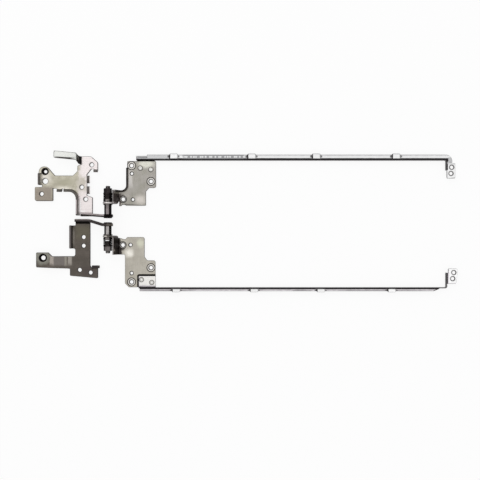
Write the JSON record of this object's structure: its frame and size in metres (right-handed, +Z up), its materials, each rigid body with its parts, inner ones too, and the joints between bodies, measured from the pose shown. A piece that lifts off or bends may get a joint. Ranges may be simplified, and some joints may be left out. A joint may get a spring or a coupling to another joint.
{
  "type": "pair of laptop hinges",
  "caption": "Left and right friction hinges of a notebook computer, opened flat, each with folded base bracket, sprung shaft, lid bracket and long flanged screen rail.",
  "frame": {"origin": "on the table plane, under the middle of the pair's outer box", "axes": "+X from the base brackets along the opened lid to the far ends of the rails, +Y along the hinge axis from the right hinge to the left hinge, +Z up"},
  "size_m": [0.302, 0.1004, 0.0106],
  "materials": {
    "left_base_plate": "nickel-plated steel sheet, satin, with stained patches",
    "right_base_plate": "dark nickel-plated steel sheet, satin",
    "lid_plate": "nickel-plated steel sheet, satin, with dark sheared edges",
    "rail_steel": "bright plated steel strip",
    "dark_shaft": "black plated turned steel",
    "dark_washer": "black plated pressed steel",
    "bright_washer": "bright pressed steel, oiled",
    "friction_disc": "greased bronze-toned steel disc",
    "spring_steel": "blackened spring steel",
    "dark_nut": "black plated steel nut",
    "eyelet_steel": "bright plated steel eyelet"
  },
  "bodies": {
    "bases": {"left_base_bracket": "left_base_plate", "left_hinge_shaft": "dark_shaft", "left_thrust_washer": "dark_washer", "left_keyed_washer": "bright_washer", "left_disc_springs": "spring_steel", "left_pressure_washer": "dark_washer", "left_lock_nut": "dark_nut", "right_base_bracket": "right_base_plate", "right_hinge_shaft": "dark_shaft", "right_thrust_washer": "dark_washer", "right_keyed_washer": "bright_washer", "right_disc_springs": "spring_steel", "right_pressure_washer": "dark_washer", "right_lock_nut": "dark_nut"},
    "left_lid": {"left_inner_friction_washer": "friction_disc", "left_outer_friction_washer": "friction_disc", "left_lid_bracket": "lid_plate", "left_screen_rail": "rail_steel", "left_rail_eyelets": "eyelet_steel"},
    "right_lid": {"right_inner_friction_washer": "friction_disc", "right_outer_friction_washer": "friction_disc", "right_lid_bracket": "lid_plate", "right_screen_rail": "rail_steel", "right_rail_eyelets": "eyelet_steel"}
  },
  "joints": [
    {"name": "left_lid_hinge", "type": "hinge", "parent": "bases", "child": "left_lid", "pos_m": [-0.09768, 0.01313, 0.007], "axis": [0, -1, 0], "range_deg": [0, 180]},
    {"name": "right_lid_hinge", "type": "hinge", "parent": "bases", "child": "right_lid", "pos_m": [-0.09768, -0.01051, 0.007], "axis": [0, -1, 0], "range_deg": [0, 180]}
  ]
}
